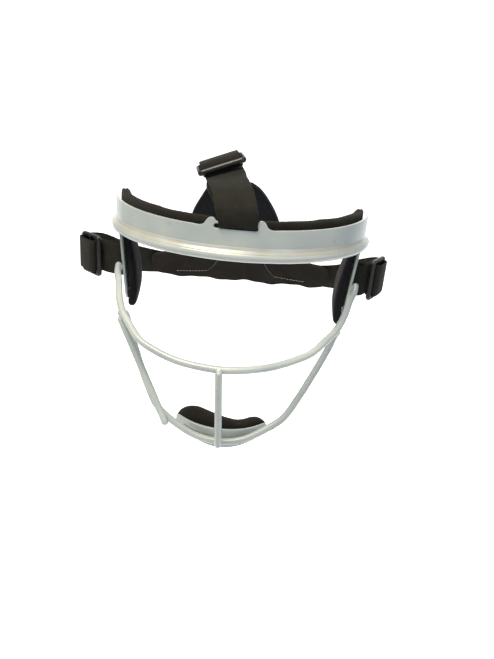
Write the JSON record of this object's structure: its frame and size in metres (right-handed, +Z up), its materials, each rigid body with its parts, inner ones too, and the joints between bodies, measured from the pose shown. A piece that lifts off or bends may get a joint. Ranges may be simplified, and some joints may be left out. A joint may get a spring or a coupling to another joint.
{
  "type": "softball fielder's face mask",
  "caption": "Fielder's face mask: a coated steel wire cage with a padded brow band, temple plates and chin cup, worn by an elastic harness with a neoprene rear panel.",
  "frame": {"origin": "middle of the brow pad's inner face, where the mask rests against the wearer's forehead", "axes": "+Z up, the wearer looks along -Y, +X to the right as seen from in front"},
  "size_m": [0.247, 0.1937, 0.197],
  "materials": {
    "coated_steel": "glossy dipped coat",
    "foam_fabric": "brushed cloth over foam",
    "elastic_webbing": "ribbed woven elastic",
    "slider_plastic": "moulded nylon",
    "neoprene": "knit-faced neoprene",
    "hook_tape": "hook-and-loop tape"
  },
  "bodies": {
    "mask": {"brow_rail": "coated_steel", "brow_shell": "coated_steel", "brow_hook_tape": "hook_tape", "brow_pad": "foam_fabric", "eye_bar": "coated_steel", "chin_bar": "coated_steel", "centre_bar": "coated_steel", "left_strut": "coated_steel", "chin_cup": "coated_steel", "chin_hook_tape": "hook_tape", "chin_pad": "foam_fabric", "temple_plate_left": "coated_steel", "temple_plate_right": "coated_steel", "temple_hook_tape_left": "hook_tape", "temple_hook_tape_right": "hook_tape", "temple_pad_left": "foam_fabric", "temple_pad_right": "foam_fabric", "top_strap": "elastic_webbing", "side_strap_left": "elastic_webbing", "side_strap_right": "elastic_webbing"},
    "harness_back": {"rear_panel": "neoprene"},
    "top_adjuster": {"top_slider": "slider_plastic", "top_strap_fold": "elastic_webbing"},
    "left_adjuster": {"side_slider_left": "slider_plastic", "side_strap_fold_left": "elastic_webbing"},
    "right_adjuster": {"side_slider_right": "slider_plastic", "side_strap_fold_right": "elastic_webbing"}
  },
  "joints": [
    {"name": "harness_stretch", "type": "slide", "parent": "mask", "child": "harness_back", "axis": [0, 1, 0], "range_m": [0, 0.025], "stiffness_N_per_m": 200, "deforming": ["top_strap", "side_strap_left", "side_strap_right"]},
    {"name": "top_slider_slide", "type": "slide", "parent": "mask", "child": "top_adjuster", "axis": [-0.1787, 0.9829, 0.0447], "range_m": [-0.008, 0.01]},
    {"name": "left_slider_slide", "type": "slide", "parent": "mask", "child": "left_adjuster", "axis": [-0.7431, 0.6691, 0], "range_m": [-0.008, 0.01]},
    {"name": "right_slider_slide", "type": "slide", "parent": "mask", "child": "right_adjuster", "axis": [0.5, 0.866, 0], "range_m": [-0.008, 0.01]}
  ]
}
